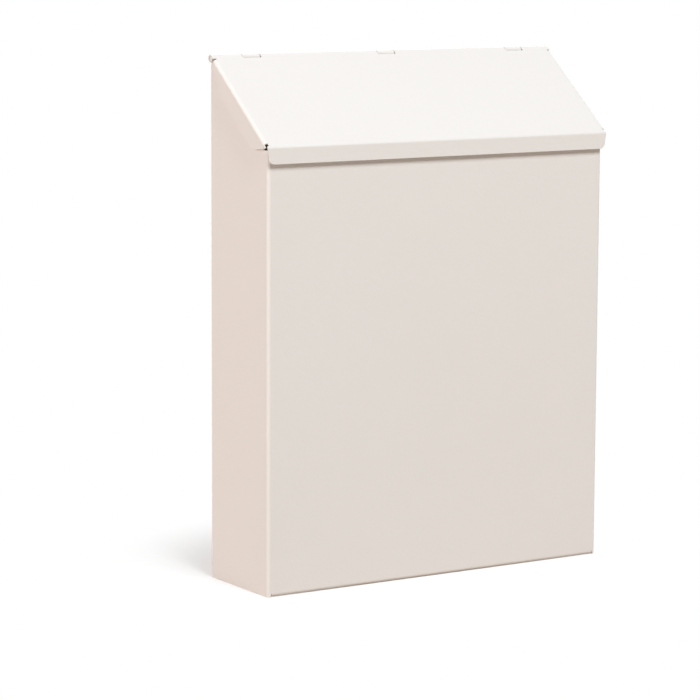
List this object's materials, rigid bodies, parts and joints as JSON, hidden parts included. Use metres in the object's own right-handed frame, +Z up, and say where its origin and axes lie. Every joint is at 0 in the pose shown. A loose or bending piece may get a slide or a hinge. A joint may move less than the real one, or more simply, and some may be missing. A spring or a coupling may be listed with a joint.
{
  "type": "wall mailbox",
  "caption": "Wall-hung letter box of folded, powder-coated sheet steel: a flat upright body under a sloping lid with a short front lip, hinged on a wire along the top of the back.",
  "frame": {"origin": "middle of the bottom, at the height of the floor it stands on", "axes": "+Z up, -Y out of the front, +Y into the wall, +X to the viewer's right"},
  "size_m": [0.2244, 0.065, 0.29],
  "materials": {
    "powder_coat": "satin powder coat, pale pinkish cream",
    "wire": "zinc-plated steel wire"
  },
  "bodies": {
    "box": {"body_shell": "powder_coat", "back_panel": "powder_coat", "hinge_pin": "wire"},
    "lid": {"lid": "powder_coat"}
  },
  "joints": [
    {"name": "lid_hinge", "type": "hinge", "parent": "box", "child": "lid", "pos_m": [0, 0.0275, 0.28775], "axis": [-1, 0, 0], "range_deg": [0, 130]}
  ]
}
